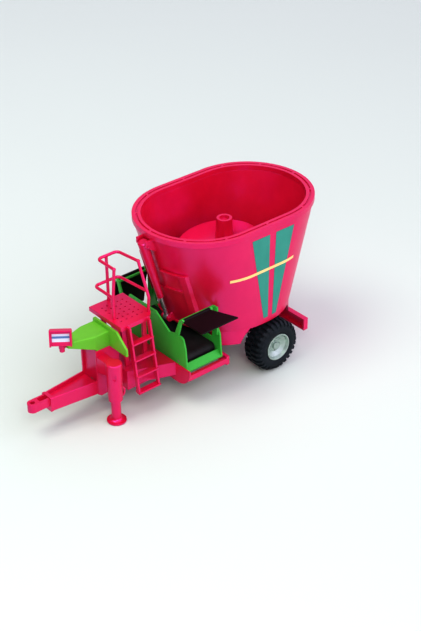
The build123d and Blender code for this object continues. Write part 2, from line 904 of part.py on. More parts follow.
floor_top = floor_height + floor_thickness
with BuildPart() as tub_shell:
    loft([oval(floor_height, 0), oval(tub_top, 0)], ruled=True)
    loft([inside(floor_height), inside(tub_top)], ruled=True, mode=Mode.SUBTRACT)
    with BuildSketch(across(tub_x)):
        with Locations((0, floor_top + outlet_height / 2)):
            RectangleRounded(outlet_width, outlet_height, outlet_corner)
    extrude(amount=top_half_run + top_radius, mode=Mode.SUBTRACT)
save(tub_shell, "tub_shell")

# Tub floor with the hole for the auger's bush
bush_radius = auger_shaft_radius + bush_clearance + bush_wall
with BuildPart() as tub_floor:
    loft([inside(floor_height), inside(floor_top)], ruled=True)
    with BuildSketch(level(floor_height)):
        with Locations((tub_x, 0)):
            Circle(bush_radius)
    extrude(amount=floor_thickness, mode=Mode.SUBTRACT)
save(tub_floor, "tub_floor")

# Skirts under the tub: one round the back and one on each side ahead of the wheels
with BuildPart() as skirts:
    with BuildSketch(level(skirt_low)):
        with Locations((tub_x, 0)):
            SlotCenterToCenter(2 * base_half_run, 2 * base_radius)
            SlotCenterToCenter(2 * base_half_run, 2 * (base_radius - tub_wall), mode=Mode.SUBTRACT)
    extrude(amount=floor_height - skirt_low)
    with BuildSketch(along(0)):
        with Locations((axle_x, wheel_radius)):
            Circle(wheel_radius + arch_gap)
        with Locations((frame_rear_x + chassis_wall, skirt_low)):
            Rectangle(base_radius, floor_height, align=(Align.MIN, Align.CENTER))
    extrude(amount=2 * base_radius, both=True, mode=Mode.SUBTRACT)
skirt_solids = skirts.part.solids()
with BuildPart() as skirt_rear:
    add(skirt_solids.sort_by(Axis.X)[0])
with BuildPart() as skirt_left:
    add(skirt_solids.sort_by(Axis.Y)[-1])
with BuildPart() as skirt_right:
    add(skirt_solids.sort_by(Axis.Y)[0])
save(skirt_rear, "skirt_rear")
save(skirt_left, "skirt_left")
save(skirt_right, "skirt_right")

# Rim ring round the tub's mouth, with a groove that short bridges cross
with BuildPart() as rim_ring:
    with BuildSketch(level(tub_top)):
        with Locations((tub_x, 0)):
            SlotCenterToCenter(2 * top_half_run, 2 * rim_radius)
            SlotCenterToCenter(2 * top_half_run, 2 * rim_inner_radius, mode=Mode.SUBTRACT)
    extrude(amount=rim_height)
    with BuildSketch(level(tub_top + rim_height)):
        with Locations((tub_x, 0)):
            SlotCenterToCenter(2 * top_half_run, 2 * groove_radius + groove_width)
            SlotCenterToCenter(2 * top_half_run, 2 * groove_radius - groove_width, mode=Mode.SUBTRACT)
        for end_x, first_angle in ((top_half_run, -72), (-top_half_run, 108)):
            with Locations((tub_x + end_x, 0)):
                with PolarLocations(groove_radius, 5, start_angle=first_angle, angular_range=180):
                    Rectangle(2 * groove_width, groove_bridge, mode=Mode.SUBTRACT)
        with Locations((tub_x, groove_radius), (tub_x, -groove_radius)):
            Rectangle(groove_bridge, 2 * groove_width, mode=Mode.SUBTRACT)
    extrude(amount=-groove_depth, mode=Mode.SUBTRACT)
save(rim_ring, "rim_ring")

# Discharge gate: a curved plate that slides up the slanted front wall, notched to clear the cylinder
gate_mid = (gate_low + gate_high) / 2
gate_run = (gate_high - gate_low) / cos(front_lean)
gate_face = gate_gap + gate_thickness


def band(h, inner, outer, half_width):
    """Slice of the gate's curve at a height, between two distances off the wall."""
    radius = wall_radius(gate_mid)
    with BuildSketch(level(h)) as shape:
        with Locations((wall_x(h) - radius, 0)):
            Circle(radius + outer)
            Circle(radius + inner, mode=Mode.SUBTRACT)
            Rectangle(
                radius + outer + gate_gap,
                2 * half_width,
                align=(Align.MIN, Align.CENTER),
                mode=Mode.INTERSECT,
            )
    return shape.sketch


def cylinder_axis(h):
    """Point of the cylinder's axis at a height."""
    return Vector(wall_x(h) + cylinder_offset / cos(front_lean), 0, height(h))


lug_low = rod_eye_height - rod_eye_radius
lug_high = rod_eye_height + rod_eye_radius
eye_x = cylinder_axis(rod_eye_height).X
rib_half_width = gate_half_width - guide_lip - guide_play
with BuildPart() as gate:
    extrude(band(gate_low, gate_gap, gate_face, gate_half_width), amount=gate_run, dir=lift)
    for rib_h in (gate_low, gate_mid_rib, gate_high - gate_rib_height):
        rib = band(rib_h, gate_gap, gate_face + gate_rib, rib_half_width)
        extrude(rib, amount=gate_rib_height / cos(front_lean), dir=lift)
    for cheek_y in (lug_width / 2, lug_cheek - lug_width / 2):
        with BuildSketch(along(cheek_y)):
            Polygon(
                (wall_x(lug_low) + gate_face - lug_root, lug_low),
                (eye_x, lug_low),
                (eye_x, lug_high),
                (wall_x(lug_high) + gate_face - lug_root, lug_high + lug_gusset),
                align=None,
            )
            with Locations((eye_x, rod_eye_height)):
                Circle(rod_eye_radius)
                Circle(pin_radius, mode=Mode.SUBTRACT)
        extrude(amount=lug_cheek)
    with BuildSketch(across(tub_x)):
        with Locations((0, gate_high - gate_notch_depth)):
            notch_height = 2 * gate_notch_depth
            RectangleRounded(
                gate_notch_width, notch_height, gate_notch_corner, align=(Align.CENTER, Align.MIN)
            )
    extrude(amount=top_half_run + rim_radius, mode=Mode.SUBTRACT)
save(gate, "gate")

# Gate guides: fixed to the wall on both sides, each with a lip over the gate's edge
guide_depth = gate_face + guide_play + guide_lip_thickness
guide_inner_y = gate_half_width - guide_lip
guide_outer_y = gate_half_width + guide_play + guide_width
with BuildPart() as gate_guide_left:
    loft([oval(floor_height, guide_depth), oval(tub_top, guide_depth)], ruled=True)
    add(tub_solid.part, mode=Mode.SUBTRACT)
    with BuildSketch(across(tub_x)):
        with Locations((guide_inner_y, guide_low)):
            Rectangle(guide_outer_y - guide_inner_y, gate_high - guide_low, align=(Align.MIN, Align.MIN))
    extrude(amount=top_half_run + rim_radius, mode=Mode.INTERSECT)
    channel = band(gate_low, -gate_face, gate_face + guide_play, gate_half_width + guide_play)
    extrude(channel, amount=gate_run + gate_travel, dir=lift, mode=Mode.SUBTRACT)
with BuildPart() as gate_guide_right:
    mirror(gate_guide_left.part, about=Plane.XZ)
save(gate_guide_left, "gate_guide_left")
save(gate_guide_right, "gate_guide_right")

# Gate pin: holds the piston rod's eye in the gate's lug
with BuildPart() as gate_pin:
    with BuildSketch(along(0)):
        with Locations((eye_x, rod_eye_height)):
            Circle(pin_radius)
    extrude(amount=lug_width / 2 + pin_overhang, both=True)
save(gate_pin, "gate_pin")

# Piston rod with its eye
rod_plane = Plane(origin=cylinder_axis(rod_eye_height), x_dir=(0, 1, 0), z_dir=lift)
rod_length = (rod_top - rod_eye_height) / cos(front_lean)
with BuildPart() as piston_rod:
    with BuildSketch(rod_plane):
        Circle(rod_radius)
    extrude(amount=rod_length)
    with BuildSketch(along(0)):
        with Locations((eye_x, rod_eye_height)):
            Circle(rod_eye_radius)
    extrude(amount=lug_width / 2 - lug_cheek - rod_eye_play, both=True)
    with BuildSketch(along(0)):
        with Locations((eye_x, rod_eye_height)):
            Circle(pin_radius)
    extrude(amount=lug_width, both=True, mode=Mode.SUBTRACT)
save(piston_rod, "piston_rod")

# Cylinder barrel: tapers towards its open end, which has a gland band
barrel_high = tub_top - barrel_drop
barrel_plane = Plane(origin=cylinder_axis(barrel_low), x_dir=(0, 1, 0), z_dir=lift)
barrel_length = (barrel_high - barrel_low) / cos(front_lean)
bore_depth = (rod_top - barrel_low) / cos(front_lean) + gate_travel + rod_radius
bracket_pin_h = barrel_high - rod_eye_radius
bracket_pin_x = cylinder_axis(bracket_pin_h).X
with BuildPart() as cylinder_barrel:
    with BuildSketch(barrel_plane):
        Circle(barrel_low_radius)
    with BuildSketch(barrel_plane.offset(barrel_length)):
        Circle(barrel_high_radius)
    loft()
    chamfer(cylinder_barrel.edges().sort_by(Axis.Z)[-1], length=barrel_chamfer)
    with BuildSketch(barrel_plane.offset(gland_length)):
        Circle(2 * barrel_high_radius)
        Circle(barrel_low_radius - gland_groove, mode=Mode.SUBTRACT)
    extrude(amount=gland_groove, mode=Mode.SUBTRACT)
    with BuildSketch(barrel_plane):
        Circle(rod_radius + rod_clearance)
    extrude(amount=bore_depth, mode=Mode.SUBTRACT)
    with BuildSketch(along(0)):
        with Locations((bracket_pin_x, bracket_pin_h)):
            Circle(pin_radius)
    extrude(amount=bracket_width, both=True, mode=Mode.SUBTRACT)
save(cylinder_barrel, "cylinder_barrel")

# Cylinder bracket: two cheeks under the rim with the barrel's end between them
bracket_low = tub_top - bracket_height
bracket_front_x = bracket_pin_x + bracket_eye_radius
with BuildPart() as cylinder_bracket:
    with BuildSketch(along(0)):
        Polygon(
            (wall_x(bracket_low) - tub_wall, bracket_low),
            (wall_x(bracket_low) + bracket_foot, bracket_low),
            (bracket_front_x, bracket_pin_h),
            (bracket_front_x, tub_top),
            (wall_x(tub_top) - tub_wall, tub_top),
            align=None,
        )
    extrude(amount=bracket_width / 2, both=True)
    with BuildSketch(along(0)):
        Polygon(
            (wall_x(barrel_low) + bracket_back, barrel_low),
            (wall_x(tub_top) + bracket_back, tub_top),
            (bracket_pin_x + bracket_width, tub_top),
            (bracket_pin_x + bracket_width, barrel_low),
            align=None,
        )
    extrude(amount=barrel_high_radius + bracket_side_gap, both=True, mode=Mode.SUBTRACT)
    add(tub_solid.part, mode=Mode.SUBTRACT)
    with BuildSketch(along(0)):
        with Locations((bracket_pin_x, bracket_pin_h)):
            Circle(pin_radius)
    extrude(amount=bracket_width, both=True, mode=Mode.SUBTRACT)
save(cylinder_bracket, "cylinder_bracket")

# Cylinder pin: through the bracket's cheeks and the barrel's end
with BuildPart() as cylinder_pin:
    with BuildSketch(along(0)):
        with Locations((bracket_pin_x, bracket_pin_h)):
            Circle(pin_radius)
    extrude(amount=bracket_width / 2 + pin_overhang, both=True)
save(cylinder_pin, "cylinder_pin")

# Cross conveyor trough: floor, tall front wall, low rear wall with cheeks, lips at both ends
trough_rear_x = trough_front_x - trough_width
end_y = trough_half_length


def front_half(crest_y, notch_y):
    """Half the front wall's outline, from its crest through a notch to the chute."""
    return [
        (crest_y, trough_middle_top),
        (notch_y, trough_notch_top),
        (shoulder_start_y, trough_shoulder_top),
        (cheek_end_y, trough_shoulder_top),
        (cheek_belly_y, cheek_belly_height),
        (end_y, trough_low),
    ]


rear_half = [
    (cheek_start_y - rear_cheek_run, trough_rear_top),
    (cheek_start_y, rear_cheek_top),
    (cheek_end_y, rear_cheek_top),
    (cheek_belly_y, cheek_belly_height),
    (end_y, trough_low),
]
with BuildPart() as conveyor_trough:
    front_near = front_half(crest_near_y, notch_near_y)
    front_far = front_half(crest_far_y, notch_far_y)
    for near, far, wall_start, wall in (
        (front_near, front_far, trough_front_x, -trough_wall),
        (rear_half, rear_half, trough_rear_x, trough_wall),
    ):
        with BuildSketch(across(wall_start)) as wall_shape:
            Polygon(*near, *[(-y, h) for y, h in reversed(far)], align=None)
            corners = [v for v in wall_shape.vertices() if isclose(abs(v.X), cheek_end_y)]
            fillet(corners, radius=cheek_corner)
        extrude(amount=wall)
    with BuildSketch(across(trough_rear_x)):
        with Locations((0, trough_low)):
            Rectangle(2 * end_y, trough_floor, align=(Align.CENTER, Align.MIN))
        for side in (-1, 1):
            Polygon(
                (side * (lip_start_y - lip_run), trough_low),
                (side * lip_start_y, lip_start_height),
                (side * end_y, trough_low + trough_floor),
                (side * end_y, trough_low),
                align=None,
            )
        with Locations((0, roller_height + roller_radius + belt_gap)):
            Rectangle(2 * bed_half_length, bed_thickness, align=(Align.CENTER, Align.MAX))
    extrude(amount=trough_width)
    with BuildSketch(across(trough_rear_x)):
        with Locations((roller_y, roller_height), (-roller_y, roller_height)):
            Circle(roller_journal_radius + journal_clearance)
    extrude(amount=trough_width, mode=Mode.SUBTRACT)
save(conveyor_trough, "conveyor_trough")

# Conveyor belt: a closed loop over both rollers, lying on the trough's bed
belt_x = trough_rear_x + trough_wall + belt_side_gap
belt_width = trough_width - 2 * (trough_wall + belt_side_gap)
belt_inner = roller_radius + belt_gap
with BuildPart() as conveyor_belt:
    with BuildSketch(across(belt_x)):
        with Locations((0, roller_height)):
            SlotCenterToCenter(2 * roller_y, 2 * (belt_inner + belt_thickness))
            SlotCenterToCenter(2 * roller_y, 2 * belt_inner, mode=Mode.SUBTRACT)
    extrude(amount=belt_width)
save(conveyor_belt, "conveyor_belt")

# Belt rollers with journals in the trough's walls
with BuildPart() as roller_left:
    with BuildSketch(across(belt_x)):
        with Locations((roller_y, roller_height)):
            Circle(roller_radius)
    extrude(amount=belt_width)
    with BuildSketch(across(trough_rear_x)):
        with Locations((roller_y, roller_height)):
            Circle(roller_journal_radius)
    extrude(amount=trough_width)
with BuildPart() as roller_right:
    mirror(roller_left.part, about=Plane.XZ)
save(roller_left, "roller_left")
save(roller_right, "roller_right")

# Flap frames: a strut at the front, one at the rear, and the hinge bar with its ear between them
hinge_front_x = trough_front_x - trough_wall - ear_gap
hinge_rear_x = hinge_front_x - hinge_length
ear_radius = hinge_barrel_radius + ear_gap / 2
bar_y = hinge_y - hinge_barrel_radius - ear_gap - hinge_bar_width
bar_rear_x = trough_rear_x + trough_wall + hinge_bar_inset
with BuildPart() as flap_frame_left:
    with BuildSketch(across(trough_front_x)):
        Polygon(
            (shoulder_start_y, trough_shoulder_top),
            (cheek_start_y, trough_shoulder_top),
            (hinge_y - ear_radius / 2, hinge_height - ear_radius),
            (hinge_y, hinge_height),
            (hinge_y, hinge_height + ear_radius),
            (bar_y, hinge_height),
            align=None,
        )
        with Locations((hinge_y, hinge_height)):
            Circle(ear_radius)
    extrude(amount=-trough_wall)
    with BuildSketch(across(trough_rear_x + trough_wall)):
        with Locations((rear_strut_y, rear_cheek_top - rear_strut_lap)):
            strut_height = hinge_height - rear_cheek_top + rear_strut_lap
            Rectangle(rear_strut_width, strut_height, align=(Align.MIN, Align.MIN))
    extrude(amount=trough_wall)
    with BuildSketch(across(trough_front_x)):
        with Locations((bar_y, hinge_height)):
            Rectangle(hinge_bar_width, hinge_bar_height, align=(Align.MIN, Align.MAX))
    extrude(amount=bar_rear_x - trough_front_x)
    with BuildSketch(across(hinge_rear_x - ear_gap)):
        with Locations((hinge_y, hinge_height)):
            Circle(ear_radius)
        Polygon(
            (bar_y, hinge_height - hinge_bar_height),
            (hinge_y, hinge_height - ear_radius),
            (hinge_y, hinge_height + ear_radius),
            (bar_y, hinge_height),
            align=None,
        )
    extrude(amount=-ear_thickness)
    with BuildSketch(across(trough_front_x)):
        with Locations((hinge_y, hinge_height)):
            Circle(hinge_pin_radius)
    extrude(amount=hinge_rear_x - ear_gap - ear_thickness - trough_front_x, mode=Mode.SUBTRACT)
with BuildPart() as flap_frame_right:
    mirror(flap_frame_left.part, about=Plane.XZ)
save(flap_frame_left, "flap_frame_left")
save(flap_frame_right, "flap_frame_right")

# Hinge pins
with BuildPart() as hinge_pin_left:
    with BuildSketch(across(trough_front_x)):
        with Locations((hinge_y, hinge_height)):
            Circle(hinge_pin_radius)
    extrude(amount=hinge_rear_x - ear_gap - ear_thickness - trough_front_x)
with BuildPart() as hinge_pin_right:
    mirror(hinge_pin_left.part, about=Plane.XZ)
save(hinge_pin_left, "hinge_pin_left")
save(hinge_pin_right, "hinge_pin_right")

# Chute flaps: the left one rests level, the longer right one rests lowered over its outlet
flap_front_x = trough_front_x - ear_gap
flap_start_y = hinge_y + ear_radius + ear_gap


def chute_flap(depth, rear_edge):
    """A level flap on the left hinge: a plate with the given rear edge and a bored hinge barrel."""
    with BuildPart() as flap:
        with BuildSketch(level(hinge_height - flap_thickness / 2)):
            Polygon(
                (hinge_front_x, hinge_y),
                (hinge_front_x, flap_start_y),
                (flap_front_x, flap_start_y),
                (flap_front_x, hinge_y + depth),
                (hinge_rear_x - flap_flare, hinge_y + depth),
                *rear_edge,
                (hinge_rear_x, flap_start_y),
                (hinge_rear_x, hinge_y),
                align=None,
            )
        extrude(amount=flap_thickness)
        with BuildSketch(across(hinge_rear_x)):
            with Locations((hinge_y, hinge_height)):
                Circle(hinge_barrel_radius)
        extrude(amount=hinge_length)
        with BuildSketch(across(hinge_rear_x)):
            with Locations((hinge_y, hinge_height)):
                Circle(hinge_pin_radius + hinge_clearance)
        extrude(amount=hinge_length, mode=Mode.SUBTRACT)
    return flap.part


right_hinge = Axis((0, -hinge_y, height(hinge_height)), (1, 0, 0))
far_rear_x = trough_rear_x + 2 * trough_wall + ear_gap
far_rear_edge = [(far_rear_x, hinge_y + far_flap_straight), (far_rear_x, flap_start_y)]
with BuildPart() as flap_left:
    add(chute_flap(flap_depth, []))
with BuildPart() as flap_right:
    add(chute_flap(far_flap_depth, far_rear_edge).mirror(Plane.XZ).rotate(right_hinge, flap_lowered))
save(flap_left, "flap_left")
save(flap_right, "flap_right")

# Auger: a conical post with one helical flight that flattens and narrows towards its top end
auger_low = floor_top + floor_running_gap
auger_centre = Plane(origin=(tub_x, 0, height(0)), x_dir=(1, 0, 0), z_dir=(0, -1, 0))
auger_axis = Axis((tub_x, 0, 0), (0, 0, 1))
flight_root_radius = auger_post_radius - flight_root


def flight_point(share, reach):
    """Point of the flight: share runs from the top end to the foot, reach from the post to the outer edge."""
    angle = radians(flight_end_angle) + 2 * pi * flight_turns * share
    h = flight_high - (flight_high - flight_low) * share**flight_pitch_ease
    outer = flight_low_radius - (flight_low_radius - flight_high_radius) * (1 - share) ** flight_taper_ease
    radius = flight_root_radius + (outer - flight_root_radius) * reach
    return (tub_x + radius * cos(angle), radius * sin(angle), height(h))


with BuildPart() as auger:
    with BuildSketch(auger_centre):
        Polygon(
            (0, auger_low),
            (auger_base_radius, auger_low),
            (auger_post_radius, auger_top),
            (0, auger_top),
            align=None,
        )
    revolve(axis=auger_axis)
    shares = [step / flight_points for step in range(flight_points + 1)]
    with BuildLine() as flight_edges:
        inner_edge = Spline(*[flight_point(share, 0) for share in shares])
        outer_edge = Spline(*[flight_point(share, 1) for share in shares])
    flight_face = Face.make_surface_from_curves(inner_edge.edge(), outer_edge.edge())
    thicken(flight_face, amount=flight_thickness / 2, both=True)
    with BuildSketch(level(auger_low)):
        with Locations((tub_x, 0)):
            Circle(auger_shaft_radius)
    extrude(amount=auger_shaft_top - auger_low, mode=Mode.SUBTRACT)
    with BuildSketch(level(auger_top)):
        with Locations((tub_x, 0)):
            Circle(auger_post_bore)
    extrude(amount=-auger_post_bore_depth, mode=Mode.SUBTRACT)
save(auger, "auger")

# Crown gear under the floor: its radial teeth point down and drive the auger's shaft
pinion_pitch_radius = crown_mean_radius * pinion_teeth / crown_teeth
pitch_h = drive_shaft_height + pinion_pitch_radius
crown_root_h = pitch_h + gear_dedendum
crown_tip_h = pitch_h - gear_addendum
tooth_half = gear_tooth_share * pi * crown_mean_radius / crown_teeth
root_half = tooth_half * gear_root_flare
tip_half = tooth_half * gear_tip_share
face_start = crown_mean_radius - gear_face_width / 2
with BuildPart() as crown_gear:
    with BuildSketch(level(crown_root_h)):
        with Locations((tub_x, 0)):
            Circle(crown_mean_radius + gear_face_width / 2)
            Circle(auger_shaft_radius, mode=Mode.SUBTRACT)
    extrude(amount=crown_thickness)
    for tooth in range(crown_teeth):
        angle = 2 * pi * tooth / crown_teeth
        spoke = Vector(cos(angle), sin(angle), 0)
        tooth_plane = Plane(
            origin=Vector(tub_x, 0, height(0)) + spoke * face_start,
            x_dir=(-sin(angle), cos(angle), 0),
            z_dir=spoke,
        )
        with BuildSketch(tooth_plane):
            Polygon(
                (-root_half, crown_root_h + gear_sink),
                (root_half, crown_root_h + gear_sink),
                (tip_half, crown_tip_h),
                (-tip_half, crown_tip_h),
                align=None,
            )
        extrude(amount=gear_face_width)
save(crown_gear, "crown_gear")

# Pinion on the drive shaft, with a gap between teeth at its top
pinion_root = pinion_pitch_radius - gear_dedendum
pinion_tip = pinion_pitch_radius + gear_addendum
with BuildPart() as pinion:
    with BuildSketch(across(tub_x + face_start)):
        with Locations((0, drive_shaft_height)):
            Circle(pinion_root)
            with PolarLocations(0, pinion_teeth, start_angle=180 / pinion_teeth):
                Polygon(
                    (pinion_root - gear_sink, -root_half),
                    (pinion_tip, -tip_half),
                    (pinion_tip, tip_half),
                    (pinion_root - gear_sink, root_half),
                    align=None,
                )
            Circle(drive_shaft_radius, mode=Mode.SUBTRACT)
    extrude(amount=gear_face_width)
save(pinion, "pinion")

# Auger shaft and its bush in the floor
with BuildPart() as auger_shaft:
    with BuildSketch(level(crown_root_h)):
        with Locations((tub_x, 0)):
            Circle(auger_shaft_radius)
    extrude(amount=auger_shaft_top - crown_root_h)
save(auger_shaft, "auger_shaft")
with BuildPart() as floor_bush:
    with BuildSketch(level(floor_top - bush_length)):
        with Locations((tub_x, 0)):
            Circle(bush_radius)
            Circle(auger_shaft_radius + bush_clearance, mode=Mode.SUBTRACT)
    extrude(amount=bush_length)
save(floor_bush, "floor_bush")

# Drive shaft from the tower to the pinion, with a bush at each end
shaft_front_x = tower_front_x - tower_web_setback
shaft_rear_x = tub_x + face_start
bearing_x = tub_x + housing_radius - housing_wall / 2
with BuildPart() as drive_shaft:
    with BuildSketch(across(shaft_rear_x)):
        with Locations((0, drive_shaft_height)):
            Circle(drive_shaft_radius)
    extrude(amount=shaft_front_x - shaft_rear_x)
save(drive_shaft, "drive_shaft")
with BuildPart() as shaft_bush_front:
    with BuildSketch(across(shaft_front_x)):
        with Locations((0, drive_shaft_height)):
            Circle(shaft_bush_radius)
            Circle(drive_shaft_radius + bush_clearance, mode=Mode.SUBTRACT)
    extrude(amount=-shaft_bush_length)
save(shaft_bush_front, "shaft_bush_front")
with BuildPart() as shaft_bush_rear:
    with BuildSketch(across(bearing_x)):
        with Locations((0, drive_shaft_height)):
            Circle(shaft_bush_radius)
            Circle(drive_shaft_radius + bush_clearance, mode=Mode.SUBTRACT)
    extrude(amount=shaft_bush_length)
save(shaft_bush_rear, "shaft_bush_rear")

# Gear housing: an open cup under the floor with the rear shaft bearing on its front
with BuildPart() as gear_housing:
    with BuildSketch(level(housing_low)):
        with Locations((tub_x, 0)):
            Circle(housing_radius)
            Circle(housing_radius - housing_wall, mode=Mode.SUBTRACT)
    extrude(amount=floor_height - housing_low)
    with BuildSketch(across(bearing_x)):
        with Locations((0, drive_shaft_height)):
            Circle(shaft_bush_radius + housing_wall)
            Rectangle(
                2 * (shaft_bush_radius + housing_wall),
                floor_height - drive_shaft_height,
                align=(Align.CENTER, Align.MIN),
            )
            Circle(shaft_bush_radius, mode=Mode.SUBTRACT)
    extrude(amount=shaft_bush_length)
save(gear_housing, "gear_housing")

# Axle, fixed in the chassis rails
axle_half = wheel_outer_y - hub_cap_setback - hub_cap_wall
with BuildPart() as axle:
    with BuildSketch(along(0)):
        with Locations((axle_x, wheel_radius)):
            Circle(axle_radius)
    extrude(amount=axle_half - axle_end_gap, both=True)
save(axle, "axle")

# Tyres: a bulging body with two staggered rings of lugs that reach down over its shoulders
wheel_inner_y = wheel_outer_y - wheel_width
wheel_mid_y = wheel_outer_y - wheel_width / 2
wheel_axis = Axis((axle_x, 0, height(wheel_radius)), (0, 1, 0))
wheel_section = Plane(origin=(axle_x, wheel_mid_y, height(wheel_radius)), x_dir=(1, 0, 0), z_dir=(0, 0, -1))
half_width = wheel_width / 2
tread_radius = wheel_radius - tread_height
lug_pitch = 360 / lug_count
with BuildPart() as tyre_left:
    for ring_y, start in ((wheel_outer_y, 0), (wheel_mid_y, lug_pitch / 2)):
        with BuildSketch(along(ring_y)):
            with Locations((axle_x, wheel_radius)):
                with PolarLocations((lug_foot_radius + wheel_radius) / 2, lug_count, start_angle=start):
                    Rectangle(wheel_radius - lug_foot_radius + tread_height, wheel_lug_width)
        extrude(amount=half_width)
    with BuildSketch(wheel_section):
        for side in (-1, 1):
            Polygon(
                (lug_foot_radius, 0),
                (lug_foot_radius, side * (half_width - lug_side_inset)),
                (lug_side_radius, side * (half_width - lug_side_inset)),
                (wheel_radius, side * (half_width - lug_shoulder_depth)),
                (wheel_radius, 0),
                align=None,
            )
    revolve(axis=wheel_axis, mode=Mode.INTERSECT)
    with BuildSketch(wheel_section):
        with BuildLine():
            bead = half_width - tyre_bead_depth
            shoulder = half_width - tyre_shoulder_depth
            Line((tread_radius, shoulder), (tread_radius, -shoulder))
            Line((rim_seat_radius, bead), (rim_seat_radius, -bead))
            for side in (-1, 1):
                ThreePointArc(
                    (rim_seat_radius, side * bead),
                    (tyre_bulge_radius, side * half_width),
                    (tread_radius, side * shoulder),
                )
        make_face()
    revolve(axis=wheel_axis)
with BuildPart() as tyre_right:
    mirror(tyre_left.part, about=Plane.XZ)
save(tyre_left, "tyre_left")
save(tyre_right, "tyre_right")

# Rims: a stepped dish whose hub, set well back, covers the axle's end inside a ring of bolt heads
dish_y = wheel_outer_y - rim_dish
rim_section = Plane(origin=(axle_x, wheel_outer_y, height(wheel_radius)), x_dir=(1, 0, 0), z_dir=(0, 0, -1))
with BuildPart() as rim_left:
    with BuildSketch(rim_section):
        Polygon(
            (0, hub_cap_setback),
            (hub_cap_radius, hub_cap_setback),
            (hub_cap_radius + hub_cap_draft, rim_dish),
            (wheel_hub_radius, rim_dish),
            (rim_well_radius, rim_well_depth),
            (rim_seat_radius - rim_lip, 0),
            (rim_seat_radius, 0),
            (rim_seat_radius, wheel_width),
            (rim_seat_radius - rim_lip, wheel_width),
            (rim_well_radius, rim_well_depth + rim_web),
            (wheel_hub_radius, rim_dish + rim_web),
            (wheel_hub_radius, wheel_width),
            (0, wheel_width),
            align=None,
        )
    revolve(axis=wheel_axis)
    with BuildSketch(along(dish_y)):
        with Locations((axle_x, wheel_radius)):
            with PolarLocations(hub_bolt_circle, hub_bolt_count):
                RegularPolygon(hub_bolt_radius, 6)
    extrude(amount=-hub_bolt_height)
    with BuildSketch(along(wheel_inner_y)):
        with Locations((axle_x, wheel_radius)):
            Circle(axle_radius + axle_clearance)
    extrude(amount=wheel_inner_y - axle_half, mode=Mode.SUBTRACT)
with BuildPart() as rim_right:
    mirror(rim_left.part, about=Plane.XZ)
save(rim_left, "rim_left")
save(rim_right, "rim_right")

# Rear bumper: a channel open to the front, with a rib where each chassis rail meets it
with BuildPart() as rear_bumper:
    with BuildSketch(across(chassis_rear_x)):
        with Locations((0, (bumper_low + bumper_top) / 2)):
            Rectangle(bumper_width, bumper_top - bumper_low)
    extrude(amount=-bumper_depth)
    with BuildSketch(across(chassis_rear_x)):
        with Locations((0, (bumper_low + bumper_top) / 2)):
            Rectangle(bumper_width - 2 * bumper_skin, bumper_top - bumper_low - 2 * bumper_skin)
        with Locations((-rail_y, bumper_low), (rail_y, bumper_low)):
            Rectangle(bumper_rib_width, 2 * (bumper_top - bumper_low), mode=Mode.SUBTRACT)
    extrude(amount=bumper_skin - bumper_depth, mode=Mode.SUBTRACT)
save(rear_bumper, "rear_bumper")
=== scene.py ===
"""Looks of the scale-model feed mixer: moulded plastics, tyres, plain stripes, studio and camera."""

import json
from functools import partial
from math import cos, radians, sin

import bmesh
import bpy
from mathutils import Matrix, Vector


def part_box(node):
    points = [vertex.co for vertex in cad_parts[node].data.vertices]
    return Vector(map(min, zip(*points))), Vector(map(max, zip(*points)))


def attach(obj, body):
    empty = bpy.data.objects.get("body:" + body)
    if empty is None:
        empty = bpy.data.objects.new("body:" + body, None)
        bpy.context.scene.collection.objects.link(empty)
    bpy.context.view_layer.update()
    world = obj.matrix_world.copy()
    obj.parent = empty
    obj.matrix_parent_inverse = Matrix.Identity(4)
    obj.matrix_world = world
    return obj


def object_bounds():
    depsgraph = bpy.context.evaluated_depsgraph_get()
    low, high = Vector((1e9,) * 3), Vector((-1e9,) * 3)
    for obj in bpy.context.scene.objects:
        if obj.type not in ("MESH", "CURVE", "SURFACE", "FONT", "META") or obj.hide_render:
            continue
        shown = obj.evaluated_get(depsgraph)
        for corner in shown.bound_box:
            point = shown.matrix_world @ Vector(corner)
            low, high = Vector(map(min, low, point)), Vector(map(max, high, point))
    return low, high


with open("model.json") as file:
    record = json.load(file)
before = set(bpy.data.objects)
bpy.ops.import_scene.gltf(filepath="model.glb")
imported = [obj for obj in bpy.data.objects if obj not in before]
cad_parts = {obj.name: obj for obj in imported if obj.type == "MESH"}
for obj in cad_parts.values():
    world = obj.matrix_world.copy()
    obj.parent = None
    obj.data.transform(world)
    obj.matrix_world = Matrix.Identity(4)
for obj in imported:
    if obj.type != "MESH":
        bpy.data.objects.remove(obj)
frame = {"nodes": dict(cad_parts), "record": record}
cad_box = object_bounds()
nodes = frame["nodes"]

# Sizes in metres, in the part's frame
MM = 0.001
GROUND = cad_box[0].z

# Middle of a span that runs from 0 to 1
MIDDLE = 0.5

# Soft edges of the mouldings, as a radius that the shader rounds
PLASTIC_EDGE = 0.45 * MM
METAL_EDGE = 0.25 * MM
EDGE_SAMPLES = 4

# Finishes: noise in cells per metre, where the darker tone ends and the lighter one begins in it, how far the
# gloss strays from its middle, and the strength and height of the grain
TONE_ENDS = (0.3, 0.7)
PLASTIC_FLOW = 38.0
PLASTIC_PATCHES = 160.0
PLASTIC_GLOSS = (-0.05, 0.07)
PLASTIC_GRAIN = 2600.0
PLASTIC_GRAIN_STRENGTH = 0.04
PLASTIC_GRAIN_HEIGHT = 0.05 * MM
RUBBER_DUST = 120.0
RUBBER_DUST_ENDS = (0.35, 0.75)
RUBBER_ROUGHNESS = (0.48, 0.66)
RUBBER_SPECULAR = 0.2
RUBBER_GRAIN_STRENGTH = 0.3
RUBBER_GRAIN_HEIGHT = 0.08 * MM
METAL_SHARE = 0.85
METAL_GLOSS = (-0.06, 0.08)
METAL_STREAK_STRENGTH = 0.06
METAL_STREAK_HEIGHT = 0.05 * MM
RED_SHEEN = (0.8, 0.22, 1.0)
